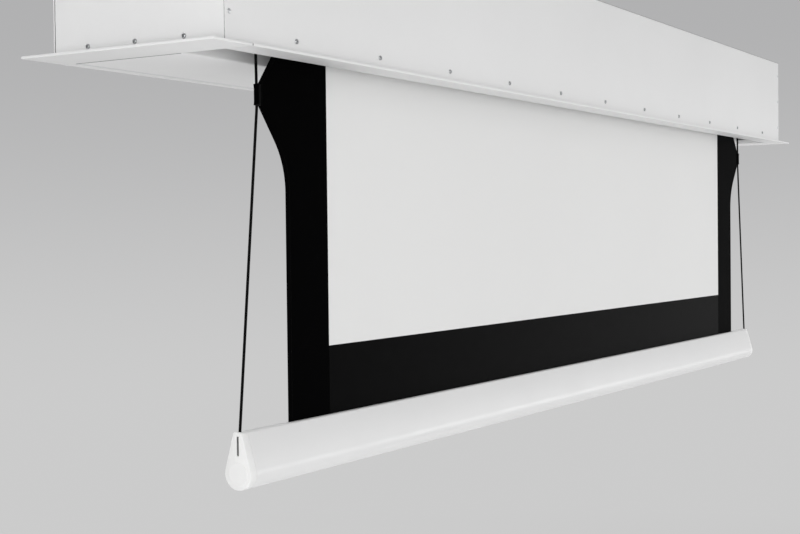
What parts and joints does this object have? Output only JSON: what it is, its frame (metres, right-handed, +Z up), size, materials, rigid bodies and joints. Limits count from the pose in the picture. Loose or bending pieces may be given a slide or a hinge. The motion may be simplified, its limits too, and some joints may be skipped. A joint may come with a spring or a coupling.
{
  "type": "recessed motorized projector screen",
  "caption": "Ceiling-recessed motorized projector screen, side-tensioned by cords, with a teardrop weight bar, roller, folded casing, trim and hinged service panel.",
  "frame": {"origin": "on the casing's top face, midway along it and straight above the plane of the hanging fabric", "axes": "+X along the roller to the viewer's right, +Y to the rear, away from the audience, +Z up"},
  "size_m": [2.254, 0.2975, 0.724],
  "materials": {
    "white_fabric": "matte white projection fabric",
    "black_fabric": "matte black coated fabric",
    "cord_black": "black braided cord",
    "white_trim": "white powder coat",
    "white_casing": "white powder coat on folded steel",
    "white_bar": "white powder coat, satin",
    "white_plastic": "moulded white",
    "black_plastic": "moulded black",
    "grey_plastic": "moulded grey",
    "galvanised": "galvanised sheet",
    "aluminium": "mill finish",
    "steel": "bright zinc"
  },
  "bodies": {
    "casing": {"casing_shell": "white_casing", "casing_end_left": "white_casing", "casing_end_right": "white_casing", "hanger_bracket_front_left": "galvanised", "hanger_bracket_front_right": "galvanised", "hanger_bracket_rear_left": "galvanised", "hanger_bracket_rear_right": "galvanised", "motor_bracket": "galvanised", "idler_bracket": "galvanised", "front_rail": "white_trim", "rear_rail": "white_trim", "end_trim_left": "white_trim", "end_trim_right": "white_trim", "hinge_fixed_leaf": "aluminium", "hinge_pin": "steel", "panel_catch_left": "black_plastic", "panel_catch_right": "black_plastic", "motor_tube": "steel", "motor_head": "black_plastic", "idler_pin": "steel", "cable_gland": "black_plastic", "terminal_box": "grey_plastic", "motor_lead": "black_plastic"},
    "roller": {"roller_tube": "aluminium", "fabric_roll": "white_fabric", "cord_winding_left": "cord_black", "cord_winding_right": "cord_black", "drive_wheel": "grey_plastic", "limit_crown": "black_plastic", "idler_plug": "black_plastic", "idler_bearing": "steel"},
    "weight_bar": {"weight_bar_extrusion": "white_bar", "bar_end_cap_left": "white_plastic", "bar_end_cap_right": "white_plastic", "hem_rod": "aluminium", "spring_stop_left": "black_plastic", "spring_stop_right": "black_plastic", "tension_spring_left": "steel", "tension_spring_right": "steel", "viewing_fabric": "white_fabric", "side_border_left": "black_fabric", "side_border_right": "black_fabric", "bottom_border": "black_fabric", "tension_cord_left": "cord_black", "tension_cord_right": "cord_black"},
    "tensioner_left": {"cord_anchor_left": "black_plastic"},
    "tensioner_right": {"cord_anchor_right": "black_plastic"},
    "service_panel": {"service_panel": "white_trim", "hinge_panel_leaf": "aluminium", "strike_plate_left": "steel", "strike_plate_right": "steel"}
  },
  "joints": [
    {"name": "screen_drop", "type": "slide", "parent": "casing", "child": "weight_bar", "axis": [0, 0, -1], "range_m": [-0.526, 0.536], "deforming": ["viewing_fabric", "side_border_left", "side_border_right", "bottom_border", "tension_cord_left", "tension_cord_right"]},
    {"name": "roller_spin", "type": "hinge", "parent": "casing", "child": "roller", "pos_m": [0, 0.03911, -0.07959], "axis": [1, 0, 0], "range_deg": [-790, 790]},
    {"name": "service_panel_hinge", "type": "hinge", "parent": "casing", "child": "service_panel", "pos_m": [0, 0.2007, -0.1955], "axis": [1, 0, 0], "range_deg": [0, 90]},
    {"name": "tensioner_left_slide", "type": "slide", "parent": "weight_bar", "child": "tensioner_left", "axis": [1, 0, 0], "range_m": [-0.004, 0.004], "stiffness_N_per_m": 1500, "deforming": ["tension_spring_left"]},
    {"name": "tensioner_right_slide", "type": "slide", "parent": "weight_bar", "child": "tensioner_right", "axis": [-1, 0, 0], "range_m": [-0.004, 0.004], "stiffness_N_per_m": 1500, "deforming": ["tension_spring_right"]}
  ],
  "couplings": [
    {"joint": "roller_spin", "follows": "screen_drop", "rad_per_m": 25.572}
  ]
}
